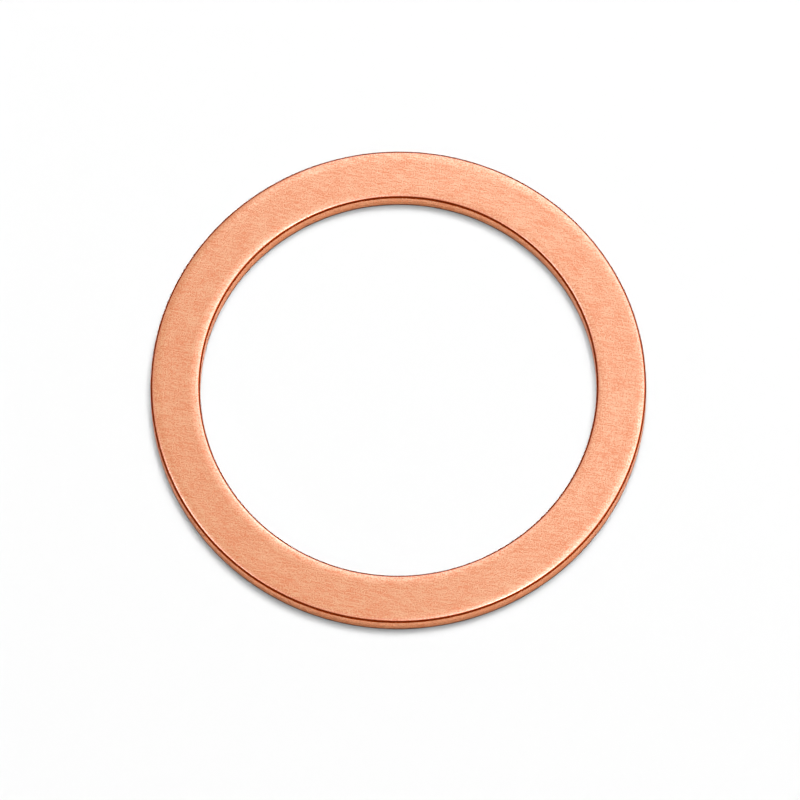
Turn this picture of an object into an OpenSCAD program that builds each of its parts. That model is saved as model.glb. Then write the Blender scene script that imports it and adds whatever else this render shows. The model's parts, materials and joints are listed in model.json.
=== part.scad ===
// Copper crush washer: one flat ring, stamped from soft copper sheet.
// Squeezed between a screw's shoulder and a port face, it flows a little and seals the joint.
// The origin is on the bore's axis, in the plane of the lower sealing face, with +Z along the axis.

/* [Ring] */
// Diameter of the bore that the screw passes through
bore_d = 24; // [10:0.1:60]
// Width of the ring, from the bore's wall to the outer wall
ring_w = 3; // [2:0.05:10]
// Thickness between the two sealing faces
thickness = 1.5; // [1:0.1:3]

/* [Upper edges, rolled over by the stamping] */
// Width of the gentle roll along each edge of the upper face, up to the wall
roll_w = 0.7; // [0.4:0.05:0.9]
// Slope in degrees that the roll has reached where the edge rounding takes over
roll_slope = 11; // [6:1:16]
// Radius of the rounding between the roll and the wall
edge_r = 0.18; // [0.08:0.01:0.25]

/* [Lower edges, where the sheet parted] */
// Radius that tumbling leaves on the edges of the lower face
parted_r = 0.08; // [0.03:0.01:0.25]

/* [Hidden] */
$fn = 360;
copper = [0.96, 0.68, 0.53];
// Angle of the faint crease at which the land, the roll, the roundings and the wall meet
crease = 3;
mid_r = (bore_d + ring_w) / 2;
wall_x = ring_w / 2;
face_y = thickness / 2;

// The roll: an arc that leaves the flat land at the crease and ends at roll_slope
edge_slope = roll_slope + crease;
roll_run = roll_w - edge_r * (cos(crease) - sin(edge_slope));
roll_r = roll_run / (sin(roll_slope) - sin(crease));
roll_x = wall_x - roll_w - roll_r * sin(crease);
roll_y = face_y - roll_r * cos(crease);

// The upper rounding: an arc that starts where the roll ends and runs into the wall at the crease
edge_x = wall_x - edge_r * cos(crease);
edge_y = roll_y + roll_r * cos(roll_slope) - edge_r * cos(edge_slope);
edge_start_x = edge_x + edge_r * (sin(edge_slope) - sin(crease));

// The lower rounding: an arc that meets the lower face and the wall at the crease
parted_x = wall_x - parted_r * cos(crease);
parted_y = face_y - parted_r * cos(crease);

// What lies outside an arc at a corner that points up and to the right, from a given place on
module outside_arc(start, centre, radius) {
    difference() {
        translate(start)
            square([ring_w, thickness]);
        translate(centre)
            circle(radius);
    }
}

// What stamping takes off an upper corner of the sheet's square section
module upper_waste() {
    outside_arc([roll_x, 0], [roll_x, roll_y], roll_r);
    outside_arc([edge_start_x, edge_y], [edge_x, edge_y], edge_r);
}

// What tumbling takes off a lower corner
module lower_waste() {
    mirror([0, 1])
        outside_arc([parted_x, parted_y], [parted_x, parted_y], parted_r);
}

// The ring's section, centred on its own middle: flat lands, upright walls and four worn corners
module section() {
    difference() {
        square([ring_w, thickness], center = true);
        for (side = [0, 1])
            mirror([side, 0]) {
                upper_waste();
                lower_waste();
            }
    }
}

module washer() {
    color(copper)
        rotate_extrude()
            translate([mid_r, face_y])
                section();
}

washer();
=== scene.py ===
# %% [markdown]
# # A copper crush washer
# The real object is one flat ring, stamped from soft copper sheet. A screw squeezes it against a port face,
# and the soft metal flows into every scratch and seals the joint. This lesson dresses its CAD solid: it loads
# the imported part, draws the same section again as a fine mesh, gives it a satin copper finish, and lights it
# as in a small photo studio.

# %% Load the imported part
import json
from math import acos, cos, pi, radians, sin, tan

import bmesh
import bpy
from mathutils import Matrix, Vector


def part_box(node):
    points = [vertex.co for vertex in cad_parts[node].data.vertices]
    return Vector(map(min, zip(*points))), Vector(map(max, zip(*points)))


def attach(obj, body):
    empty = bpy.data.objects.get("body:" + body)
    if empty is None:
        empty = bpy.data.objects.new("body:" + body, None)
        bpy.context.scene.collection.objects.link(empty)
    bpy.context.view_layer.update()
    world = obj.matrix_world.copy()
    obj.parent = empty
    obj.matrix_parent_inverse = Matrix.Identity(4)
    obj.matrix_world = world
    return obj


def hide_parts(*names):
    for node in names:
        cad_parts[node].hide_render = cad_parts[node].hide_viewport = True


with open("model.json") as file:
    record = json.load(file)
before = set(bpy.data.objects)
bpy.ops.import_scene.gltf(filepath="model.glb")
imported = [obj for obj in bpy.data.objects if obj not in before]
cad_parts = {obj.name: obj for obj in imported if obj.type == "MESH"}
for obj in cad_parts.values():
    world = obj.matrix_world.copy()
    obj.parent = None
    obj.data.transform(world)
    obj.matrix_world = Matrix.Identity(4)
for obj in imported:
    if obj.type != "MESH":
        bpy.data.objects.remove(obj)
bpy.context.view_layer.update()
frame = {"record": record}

scene = bpy.context.scene
scene.view_settings.view_transform = "Standard"

# %% [markdown]
# ## The measures of the ring
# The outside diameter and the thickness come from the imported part's box, and the hole from the bore mount in
# its record, so the mesh can't drift away from the solid. The sizes of the stamped edges aren't in the record,
# so they are repeated here: a gentle roll beside each upper edge, the slope that it ends at, the small rounding
# that turns down into the wall, and the still smaller one where the sheet parted at the bottom.

# %% Measures
MM = 0.001
_, washer_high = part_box("washer")
outer_r = washer_high.x
thickness = washer_high.z
bore = next(mount for mount in frame["record"]["mounts"] if mount["name"] == "bore")
bore_r = bore["dims"]["r_mm"] * MM
mid_r = (bore_r + outer_r) / 2

roll_w = 0.7 * MM
roll_slope = radians(11)
edge_r = 0.18 * MM
parted_r = 0.08 * MM
roll_run = roll_w - edge_r * (1 - sin(roll_slope))
roll_r = roll_run / sin(roll_slope)
print(f"outside {2 * outer_r / MM:.2f} mm, bore {2 * bore_r / MM:.2f} mm, thickness {thickness / MM:.2f} mm")

# %% [markdown]
# ## Drawing the section with a turning point
# A lathe hand would think of the ring as one small section turned round an axis, and bmesh can do the same.
# Half of the section starts as one vertex in the middle of the upper face. Extruding the vertex draws a
# straight line, and spinning it about a centre draws an arc, so the roll and the roundings are true arcs that
# meet without a kink. Each straight stretch has a short step at its ends, which keeps the smooth shading of the
# arcs off it. One mirror then makes the whole closed section.

# %% Draw half of the section
ring_bm = bmesh.new()


def draw_line(tip, step):
    """Extrudes the tip along a straight step and returns the new tip."""
    new = bmesh.ops.extrude_vert_indiv(ring_bm, verts=[tip])["verts"]
    bmesh.ops.translate(ring_bm, verts=new, vec=step)
    return new[0]


def draw_arc(tip, centre, angle, steps):
    """Sweeps the tip about a centre in the XZ plane and returns the new tip."""
    swept = bmesh.ops.spin(
        ring_bm, geom=[tip], cent=centre, axis=(0, 1, 0), dvec=(0, 0, 0), angle=angle,
        steps=steps, use_merge=False, use_duplicate=False,
    )
    return next(item for item in swept["geom_last"] if isinstance(item, bmesh.types.BMVert))


STEP_IN = 0.04 * MM
land_end = outer_r - roll_w
tip = ring_bm.verts.new((mid_r, 0, thickness))
tip = draw_line(tip, (land_end - STEP_IN - mid_r, 0, 0))
tip = draw_line(tip, (STEP_IN, 0, 0))
tip = draw_arc(tip, (land_end, 0, thickness - roll_r), roll_slope, steps=7)
edge_centre = tip.co - edge_r * Vector((sin(roll_slope), 0, cos(roll_slope)))
tip = draw_arc(tip, edge_centre, pi / 2 - roll_slope, steps=12)
tip = draw_line(tip, (0, 0, -STEP_IN))
tip = draw_line(tip, (0, 0, parted_r + STEP_IN - tip.co.z))
tip = draw_line(tip, (0, 0, -STEP_IN))
tip = draw_arc(tip, (outer_r - parted_r, 0, parted_r), pi / 2, steps=6)
tip = draw_line(tip, (-STEP_IN, 0, 0))
tip = draw_line(tip, (mid_r - tip.co.x, 0, 0))
print(f"half of the section has {len(ring_bm.verts)} vertices")

# %% Mirror it into the whole section
MERGE = 1e-8


def mirror_all(middle, axis):
    """Mirrors everything drawn so far about a plane through a point, and joins the two halves."""
    bmesh.ops.mirror(
        ring_bm, geom=ring_bm.verts[:] + ring_bm.edges[:] + ring_bm.faces[:],
        matrix=Matrix.Translation(-Vector(middle)), merge_dist=MERGE, axis=axis,
    )
    bmesh.ops.remove_doubles(ring_bm, verts=ring_bm.verts[:], dist=MERGE)


mirror_all((mid_r, 0, 0), "X")
print(f"the whole section has {len(ring_bm.verts)} vertices and {len(ring_bm.edges)} edges")

# %% [markdown]
# ## Turning the section into the ring
# A spin about the Z axis sweeps the closed section into the ring. A long full spin is slow, so the section is
# spun through a quarter turn, and two mirrors make the other three quarters. Mirrors and spins can leave faces
# inside out, so the normals are worked out again at the end.

# %% Spin a quarter and mirror it
QUARTER_STEPS = 240
bmesh.ops.spin(
    ring_bm, geom=ring_bm.verts[:] + ring_bm.edges[:], cent=(0, 0, 0), axis=(0, 0, 1), dvec=(0, 0, 0),
    angle=pi / 2, steps=QUARTER_STEPS, use_merge=False, use_duplicate=False,
)
mirror_all((0, 0, 0), "X")
mirror_all((0, 0, 0), "Y")
bmesh.ops.recalc_face_normals(ring_bm, faces=ring_bm.faces[:])
open_edges = [edge for edge in ring_bm.edges if not edge.is_manifold]
print(f"the ring has {len(ring_bm.faces)} faces and {len(open_edges)} open edges")

# %% [markdown]
# ## How far the surface leans, and how deep it lies
# The flat face, the rounding and the sheared wall of a stamped ring don't have the same finish. One number
# tells them apart: how far the surface leans from the flat, from 0 on the face to 1 on the wall. A second one
# is the depth on the wall, from 0 at its top to 1 at the bottom, and the material uses it for painted shade
# that darkens the wall towards its foot. The depth fades out where the last rounding turns flat, so the lower
# face has none. Both numbers are stored at every vertex as attributes, and the material reads them there.

# %% Store the lean and the depth
FULL_DEPTH_LEAN = 0.5
ring_bm.normal_update()
lean = ring_bm.verts.layers.float.new("lean")
depth = ring_bm.verts.layers.float.new("depth")
for vert in ring_bm.verts:
    vert[lean] = acos(min(1, abs(vert.normal.z))) / (pi / 2)
    share = min(1, vert[lean] / FULL_DEPTH_LEAN)
    vert[depth] = share * max(0, 1 - vert.co.z / edge_centre.z)

ring_mesh = bpy.data.meshes.new("copper_ring")
ring_bm.to_mesh(ring_mesh)
ring_bm.free()
ring_mesh.shade_smooth()
ring = bpy.data.objects.new("copper_ring", ring_mesh)
scene.collection.objects.link(ring)
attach(ring, "root")
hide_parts("washer")
print("attributes of the ring:", [attribute.name for attribute in ring_mesh.attributes])

# %% [markdown]
# ## Satin copper
# Annealed and tumbled copper is satin, not mirror bright: its reflections are soft, and a fine grain breaks
# them up. The grain is one node group that makes four masks from the object's own coordinates: a fine grain,
# faint streaks left by the rolling of the sheet, others left by the tumbling round the ring, and a soft mottle.
# Each mask is noise, stretched by a Mapping node to the size of what it stands for.

# %% Grain group
GRAIN_SIZE = 0.075 * MM
STREAK_LENGTH = 0.7 * MM
STREAK_WIDTH = 0.08 * MM
MOTTLE_SIZE = 1.4 * MM
ROLLING_TURN = radians(-12)


def add_node(tree, kind, **settings):
    """Adds a node to a tree, sets its properties and input values, and returns it."""
    node = tree.nodes.new(kind)
    for name, value in settings.items():
        if name in node.inputs:
            node.inputs[name].default_value = value
        else:
            setattr(node, name, value)
    return node


def sized_noise(tree, vector, sizes, detail, turn=0.0):
    """Noise with blobs of the given sizes along the axes of a frame that is turned about Z."""
    place = add_node(tree, "ShaderNodeMapping", vector_type="TEXTURE", Rotation=(0, 0, turn), Scale=sizes)
    tree.links.new(vector, place.inputs["Vector"])
    noise = add_node(tree, "ShaderNodeTexNoise", Scale=1.0, Detail=detail, Roughness=0.6)
    tree.links.new(place.outputs["Vector"], noise.inputs["Vector"])
    return noise.outputs["Fac"]


def round_coordinates(tree, vector):
    """Turns XYZ into the direction round the axis and the distance from it, with no seam."""
    flat = add_node(tree, "ShaderNodeVectorMath", operation="MULTIPLY")
    flat.inputs[1].default_value = (1, 1, 0)
    tree.links.new(vector, flat.inputs[0])
    reach = add_node(tree, "ShaderNodeVectorMath", operation="LENGTH")
    tree.links.new(flat.outputs[0], reach.inputs[0])
    heading = add_node(tree, "ShaderNodeVectorMath", operation="NORMALIZE")
    tree.links.new(flat.outputs[0], heading.inputs[0])
    parts = add_node(tree, "ShaderNodeSeparateXYZ")
    tree.links.new(heading.outputs[0], parts.inputs[0])
    joined = add_node(tree, "ShaderNodeCombineXYZ")
    tree.links.new(parts.outputs["X"], joined.inputs["X"])
    tree.links.new(parts.outputs["Y"], joined.inputs["Y"])
    tree.links.new(reach.outputs["Value"], joined.inputs["Z"])
    return joined.outputs[0]


def make_grain_group():
    """The node group with the four masks, each a value round a half."""
    tree = bpy.data.node_groups.new("Satin grain", "ShaderNodeTree")
    tree.interface.new_socket("Vector", in_out="INPUT", socket_type="NodeSocketVector")
    for name in ("Grain", "Streaks", "Round streaks", "Mottle"):
        tree.interface.new_socket(name, in_out="OUTPUT", socket_type="NodeSocketFloat")
    vector = tree.nodes.new("NodeGroupInput").outputs["Vector"]
    out = tree.nodes.new("NodeGroupOutput")
    along = (STREAK_LENGTH, STREAK_WIDTH, STREAK_WIDTH)
    around = (STREAK_LENGTH / mid_r, STREAK_LENGTH / mid_r, STREAK_WIDTH)
    masks = {
        "Grain": sized_noise(tree, vector, (GRAIN_SIZE,) * 3, detail=2.0),
        "Streaks": sized_noise(tree, vector, along, detail=1.0, turn=ROLLING_TURN),
        "Round streaks": sized_noise(tree, round_coordinates(tree, vector), around, detail=1.0),
        "Mottle": sized_noise(tree, vector, (MOTTLE_SIZE,) * 3, detail=3.0),
    }
    for name, socket in masks.items():
        tree.links.new(socket, out.inputs[name])
    return tree


grain_group = make_grain_group()
print("grain group sockets:", [item.name for item in grain_group.interface.items_tree])

# %% [markdown]
# The material adds the masks up, each with its own weight, into one number round a half. That number lightens
# and darkens the copper a little, changes its roughness, and stands as fine relief in the bump.
#
# Ramps over the lean tell the finishes apart. The end of the roll rubs against everything, so it is burnished.
# Below it the tone turns brown and then into a dark line along the rounding, which is painted shade standing
# for the dark surroundings that the rounding reflects, and on the sheared wall the copper is bright again. The
# grain is calmer on all of these than on the face. Bare copper stays reddish even where it is seen almost edge
# on, so one of the ramps goes to the shader's Specular Tint, which colours those reflections; on the dark line
# it also dims them, as painted shade. A ramp over the depth makes the wall warmer and darker towards the bottom
# and darkens its foot, which is painted shade for the shadow on the paper that the wall reflects there, and it
# dims the wall's reflections in the same way.

# %% Tones of the copper
COPPER_DARK = (0.770, 0.265, 0.125)
COPPER_LIGHT = (0.995, 0.575, 0.358)
DARK_AT = 0.2
LIGHT_AT = 0.8
WEIGHTS = {"Grain": 2.5, "Streaks": 0.9, "Round streaks": 0.5, "Mottle": 0.42}
ROUGH_LOW = 0.23
ROUGH_HIGH = 0.33
RELIEF = 0.0008 * MM

WHITE = (1.0, 1.0, 1.0)
RIM_TONE = (1.0, 0.96, 1.05)
# The turn and line tones are painted shade: a dark line along the rounding for the dark surroundings it
# reflects.
PAINTED_LINE_FADE = (0.80, 0.48, 0.30)
PAINTED_LINE_SHADE = (0.275, 0.066, 0.013)
WALL_TONE = (0.98, 0.93, 0.93)
# The lower wall and foot tones are painted shade, darker towards the bottom of the wall, for the shadow on the
# paper it reflects.
PAINTED_LOWER_WALL_SHADE = (1.0, 0.88, 0.80)
PAINTED_FOOT_SHADE = (0.26, 0.11, 0.06)
GRAZING_TINT = (1.00, 0.70, 0.55)
# The line tint is painted shade too: it dims the reflections on the dark line.
PAINTED_LINE_TINT = (1.00, 0.50, 0.22)
RIM_ROUGH = (0.72, 0.72, 0.72)
EDGE_GRAIN = (0.45, 0.45, 0.45)
WALL_GRAIN = (0.60, 0.60, 0.60)

LEAN_TONES_WITH_PAINTED_LINE = (
    (0.09, WHITE), (0.13, RIM_TONE), (0.18, RIM_TONE), (0.24, PAINTED_LINE_FADE), (0.34, PAINTED_LINE_SHADE),
    (0.86, PAINTED_LINE_SHADE), (1.00, WALL_TONE),
)
LEAN_ROUGHNESS = ((0.04, WHITE), (0.12, RIM_ROUGH), (0.30, RIM_ROUGH), (0.50, WHITE))
LEAN_TINTS = ((0.30, GRAZING_TINT), (0.42, PAINTED_LINE_TINT), (0.86, PAINTED_LINE_TINT), (1.00, GRAZING_TINT))
LEAN_GRAIN = ((0.05, WHITE), (0.12, EDGE_GRAIN), (0.90, EDGE_GRAIN), (1.00, WALL_GRAIN))
PAINTED_DEPTH_SHADES = ((0.1, WHITE), (0.82, PAINTED_LOWER_WALL_SHADE), (0.88, PAINTED_FOOT_SHADE))
print(f"{len(LEAN_TONES_WITH_PAINTED_LINE)} tones from the face to the wall, {len(PAINTED_DEPTH_SHADES)} down the wall")

# %% Copper material
# A Mix node has sockets for every kind of data, and these are the places of the ones for colours.
MIX_FACTOR, MIX_FIRST, MIX_SECOND, MIX_RESULT = 0, 6, 7, 2


def add_ramp(tree, value, stops):
    """A colour ramp over a value, with one stop for each position and colour."""
    ramp = add_node(tree, "ShaderNodeValToRGB")
    elements = ramp.color_ramp.elements
    while len(elements) < len(stops):
        elements.new(0.5)
    for element, (position, colour) in zip(elements, stops):
        element.position = position
        element.color = (*colour, 1)
    tree.links.new(value, ramp.inputs["Fac"])
    return ramp.outputs["Color"]


def read_attribute(tree, name):
    """The value of one of the mesh's own attributes."""
    return add_node(tree, "ShaderNodeAttribute", attribute_name=name).outputs["Fac"]


def multiply_colours(tree, first, second):
    """The product of two colours."""
    product = add_node(tree, "ShaderNodeMix", data_type="RGBA", blend_type="MULTIPLY")
    product.inputs[MIX_FACTOR].default_value = 1.0
    tree.links.new(first, product.inputs[MIX_FIRST])
    tree.links.new(second, product.inputs[MIX_SECOND])
    return product.outputs[MIX_RESULT]


def add_up_masks(tree, grain):
    """The sum of the weighted masks, a number round zero."""
    total = None
    for name, weight in WEIGHTS.items():
        part = add_node(tree, "ShaderNodeMath", operation="MULTIPLY_ADD")
        part.inputs[1].default_value = weight
        tree.links.new(grain.outputs[name], part.inputs[0])
        if total is None:
            part.inputs[2].default_value = -0.5 * sum(WEIGHTS.values())
        else:
            tree.links.new(total, part.inputs[2])
        total = part.outputs[0]
    return total


def make_copper():
    """The ring's one material, which changes with the grain, the lean and the depth."""
    material = bpy.data.materials.new("satin_copper")
    material.use_nodes = True
    tree = material.node_tree
    shader = tree.nodes["Principled BSDF"]
    shader.inputs["Metallic"].default_value = 1.0
    place = add_node(tree, "ShaderNodeTexCoord")
    grain = add_node(tree, "ShaderNodeGroup", node_tree=grain_group)
    tree.links.new(place.outputs["Object"], grain.inputs["Vector"])
    lean_value = read_attribute(tree, "lean")
    painted_depth_shade = add_ramp(tree, read_attribute(tree, "depth"), PAINTED_DEPTH_SHADES)

    texture = add_node(tree, "ShaderNodeMath", operation="MULTIPLY_ADD")
    texture.inputs[2].default_value = 0.5
    tree.links.new(add_up_masks(tree, grain), texture.inputs[0])
    tree.links.new(add_ramp(tree, lean_value, LEAN_GRAIN), texture.inputs[1])

    tone = add_ramp(tree, texture.outputs[0], ((DARK_AT, COPPER_DARK), (LIGHT_AT, COPPER_LIGHT)))
    # The lean ramp paints the dark line as painted shade, and the depth ramp paints shade down the wall.
    edge_tone_with_painted_line = multiply_colours(tree, tone, add_ramp(tree, lean_value, LEAN_TONES_WITH_PAINTED_LINE))
    tree.links.new(multiply_colours(tree, edge_tone_with_painted_line, painted_depth_shade), shader.inputs["Base Color"])
    tint = multiply_colours(tree, add_ramp(tree, lean_value, LEAN_TINTS), painted_depth_shade)
    tree.links.new(tint, shader.inputs["Specular Tint"])

    rough = add_node(tree, "ShaderNodeMapRange")
    rough.inputs["From Min"].default_value = DARK_AT
    rough.inputs["From Max"].default_value = LIGHT_AT
    rough.inputs["To Min"].default_value = ROUGH_HIGH
    rough.inputs["To Max"].default_value = ROUGH_LOW
    tree.links.new(texture.outputs[0], rough.inputs["Value"])
    edge_rough = add_node(tree, "ShaderNodeMath", operation="MULTIPLY")
    tree.links.new(rough.outputs["Result"], edge_rough.inputs[0])
    tree.links.new(add_ramp(tree, lean_value, LEAN_ROUGHNESS), edge_rough.inputs[1])
    tree.links.new(edge_rough.outputs[0], shader.inputs["Roughness"])

    bump = add_node(tree, "ShaderNodeBump", Strength=1.0, Distance=RELIEF)
    tree.links.new(texture.outputs[0], bump.inputs["Height"])
    tree.links.new(bump.outputs["Normal"], shader.inputs["Normal"])
    return material


ring_mesh.materials.append(make_copper())
print("materials on the ring:", [material.name for material in ring_mesh.materials])

# %% [markdown]
# ## The floor
# A plain white sheet of paper, on which the ring keeps the short soft shadow that shows it lying there. Bright
# copper would throw orange glints on the paper beside it, and the photograph has none, so the ring is hidden
# from the rays that bounce off the paper. Shadows are worked out from other rays, so they stay.

# %% Floor
FLOOR_HALF = 0.6
FLOOR_WHITE = 0.90
FLOOR_ROUGH = 0.9

floor_bm = bmesh.new()
bmesh.ops.create_grid(floor_bm, x_segments=1, y_segments=1, size=FLOOR_HALF)
floor_mesh = bpy.data.meshes.new("floor")
floor_bm.to_mesh(floor_mesh)
floor_bm.free()
floor = bpy.data.objects.new("floor", floor_mesh)
scene.collection.objects.link(floor)
paper = bpy.data.materials.new("white_paper")
paper.use_nodes = True
paper_shader = paper.node_tree.nodes["Principled BSDF"]
paper_shader.inputs["Base Color"].default_value = (FLOOR_WHITE, FLOOR_WHITE, FLOOR_WHITE, 1)
paper_shader.inputs["Roughness"].default_value = FLOOR_ROUGH
paper_shader.inputs["Specular IOR Level"].default_value = 0.0
floor_mesh.materials.append(paper)
ring.visible_diffuse = False
print(f"floor of {2 * FLOOR_HALF:.1f} m a side")

# %% [markdown]
# ## Light for the paper
# Metal shows what stands round it, and paper shows only how much light falls on it, so a studio lights them
# with different things, and here ray visibility keeps the two jobs apart. For the paper, a soft lamp almost
# overhead gives the short shadow, and a broad weak one fills that shadow a little.

# %% Lamps for the paper
PAPER_LIGHT = (1.0, 1.0, 1.0)
CARD_LIGHT = (0.79, 1.0, 1.42)
ring_middle = Vector((0, 0, thickness))


def direction(azimuth, elevation):
    """Unit vector to a place in the studio: azimuth counter-clockwise from +X, both in degrees."""
    az, el = radians(azimuth), radians(elevation)
    return Vector((cos(az) * cos(el), sin(az) * cos(el), sin(el)))


def add_softbox(name, azimuth, elevation, distance, half_width, half_height, radiance, lights):
    """A rectangular lamp, its half sizes given as angles in degrees, that lights either paper or metal."""
    lamp = bpy.data.lights.new(name, "AREA")
    lamp.shape = "RECTANGLE"
    lamp.size = 2 * distance * tan(radians(half_width))
    lamp.size_y = 2 * distance * tan(radians(half_height))
    lamp.energy = radiance * lamp.size * lamp.size_y * pi
    lamp.color = PAPER_LIGHT if lights == "paper" else CARD_LIGHT
    softbox = bpy.data.objects.new(name, lamp)
    softbox.location = ring_middle + distance * direction(azimuth, elevation)
    softbox.rotation_euler = direction(azimuth, elevation).to_track_quat("Z", "Y").to_euler()
    softbox.visible_camera = False
    softbox.visible_diffuse = lights == "paper"
    softbox.visible_glossy = lights == "metal"
    scene.collection.objects.link(softbox)
    print(f"{name}: {lamp.energy:.4f} W")


add_softbox(
    "paper_lamp", azimuth=61, elevation=78.5, distance=1.5,
    half_width=10.45, half_height=10.45, radiance=21.9, lights="paper",
)
add_softbox(
    "paper_fill", azimuth=47, elevation=84, distance=1.5,
    half_width=40, half_height=40, radiance=0.475, lights="paper",
)

# %% [markdown]
# ## What the metal reflects
# The copper shows seven cards and a dome. Broad cards at the right and at the front right light the rolled
# edges, a near one behind and a small one close overhead brighten the far half of the face, and a weak one just
# short of the zenith lights the roll that leans towards the viewer. A narrow hot card at the front right draws
# the white line, and a flat one far off at the left draws the pale line on the edges that lean to the left. The
# cards are cooler than the dome, which keeps the brightest copper pale instead of orange. The dome is brightest
# at the back right and dims smoothly from there, so the ring looks like copper from every side.

# %% Cards for the metal
add_softbox(
    "right_card", azimuth=30, elevation=33, distance=0.55,
    half_width=30, half_height=30, radiance=1.10, lights="metal",
)
add_softbox(
    "back_card", azimuth=85, elevation=46, distance=0.107,
    half_width=14.5, half_height=17, radiance=0.70, lights="metal",
)
add_softbox(
    "front_card", azimuth=-27, elevation=46, distance=0.41,
    half_width=27, half_height=37, radiance=1.2, lights="metal",
)
add_softbox(
    "hot_card", azimuth=-38, elevation=67, distance=0.6,
    half_width=3, half_height=6.7, radiance=11.2, lights="metal",
)
add_softbox(
    "left_card", azimuth=186, elevation=66.5, distance=2.0,
    half_width=12, half_height=3, radiance=3.86, lights="metal",
)
add_softbox(
    "top_card", azimuth=53, elevation=72, distance=0.051,
    half_width=17, half_height=11, radiance=0.25, lights="metal",
)
add_softbox(
    "zenith_card", azimuth=270, elevation=82, distance=0.6,
    half_width=9, half_height=8, radiance=0.14, lights="metal",
)

# %% World dome
DOME_AZIMUTH = 37
DOME_ELEVATION = 60
DOME_LOW = 0.44
DOME_HIGH = 0.72
DOME_FROM = 0.09
DOME_TO = 0.85
DOME_LIGHT = (1.16, 1.015, 0.89)

world = bpy.data.worlds.new("studio")
scene.world = world
world.use_nodes = True
world.cycles_visibility.diffuse = False
dome = world.node_tree
background = dome.nodes["Background"]
heading = add_node(dome, "ShaderNodeTexCoord")
nearness = add_node(dome, "ShaderNodeVectorMath", operation="DOT_PRODUCT")
nearness.inputs[1].default_value = direction(DOME_AZIMUTH, DOME_ELEVATION)
dome.links.new(heading.outputs["Generated"], nearness.inputs[0])
level = add_node(dome, "ShaderNodeMapRange", interpolation_type="SMOOTHSTEP")
level.inputs["From Min"].default_value = DOME_FROM
level.inputs["From Max"].default_value = DOME_TO
level.inputs["To Min"].default_value = DOME_LOW
level.inputs["To Max"].default_value = DOME_HIGH
dome.links.new(nearness.outputs["Value"], level.inputs["Value"])
dome.links.new(level.outputs["Result"], background.inputs["Strength"])
background.inputs["Color"].default_value = (*DOME_LIGHT, 1)
print(f"dome from {DOME_LOW} to {DOME_HIGH}")

# %% [markdown]
# ## Camera
# The photograph looks down at 72 degrees from far away with a long lens, so the ring shows almost no
# perspective. The camera is turned a little about its own line of sight, and it aims a little beside the ring's
# middle, as the photograph does.

# %% Camera
ELEVATION = radians(72.06)
CAMERA_TURN = radians(1.785)
CAMERA_DISTANCE = 91 * outer_r
IMAGE_SIZE = 800
PIXELS_PER_OUTER_R = 247.64
RING_LEFT_PX = 1.47
RING_ABOVE_PX = 6.82

pixel = outer_r / PIXELS_PER_OUTER_R
level_right = Vector((1, 0, 0))
level_up = Vector((0, sin(ELEVATION), cos(ELEVATION)))
view_back = Vector((0, -cos(ELEVATION), sin(ELEVATION)))
right = cos(CAMERA_TURN) * level_right - sin(CAMERA_TURN) * level_up
up = sin(CAMERA_TURN) * level_right + cos(CAMERA_TURN) * level_up
aim = pixel * (RING_LEFT_PX * right - RING_ABOVE_PX * up)

lens = bpy.data.cameras.new("camera")
lens.sensor_width = 36
lens.lens = lens.sensor_width * CAMERA_DISTANCE / (IMAGE_SIZE * pixel)
lens.clip_start = 0.01
lens.clip_end = 20
camera = bpy.data.objects.new("camera", lens)
turn = Matrix((right, up, view_back)).transposed().to_4x4()
camera.matrix_world = Matrix.Translation(aim + CAMERA_DISTANCE * view_back) @ turn
scene.collection.objects.link(camera)
scene.camera = camera
print(f"lens {lens.lens:.0f} mm at {CAMERA_DISTANCE:.2f} m")
